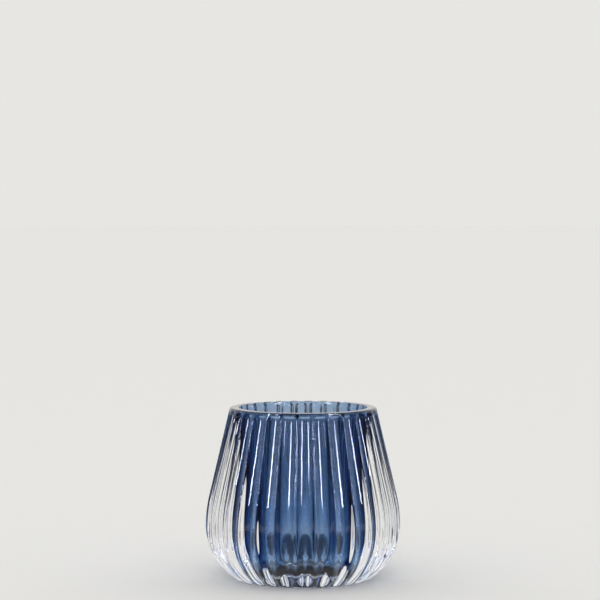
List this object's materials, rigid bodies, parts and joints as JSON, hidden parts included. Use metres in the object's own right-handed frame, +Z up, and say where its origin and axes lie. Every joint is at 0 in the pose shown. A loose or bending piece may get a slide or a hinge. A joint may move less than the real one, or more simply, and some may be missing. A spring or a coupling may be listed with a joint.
{
  "type": "ribbed cased-glass vase",
  "caption": "Low, wide-mouthed glass vase: thick clear glass with upright flutes down the outside and a thin blue glass lining inside the wall.",
  "frame": {"origin": "centre of the ring the vase stands on, at floor level", "axes": "+Z up along the axis of the mouth; the flutes make every side alike, and -Y is the side taken as the front"},
  "size_m": [0.1302, 0.1298, 0.114],
  "materials": {
    "clear_glass": "fire-polished clear soda-lime glass",
    "blue_glass": "deep blue transparent glass"
  },
  "bodies": {
    "root": {"clear_casing": "clear_glass", "blue_lining": "blue_glass"}
  },
  "joints": []
}
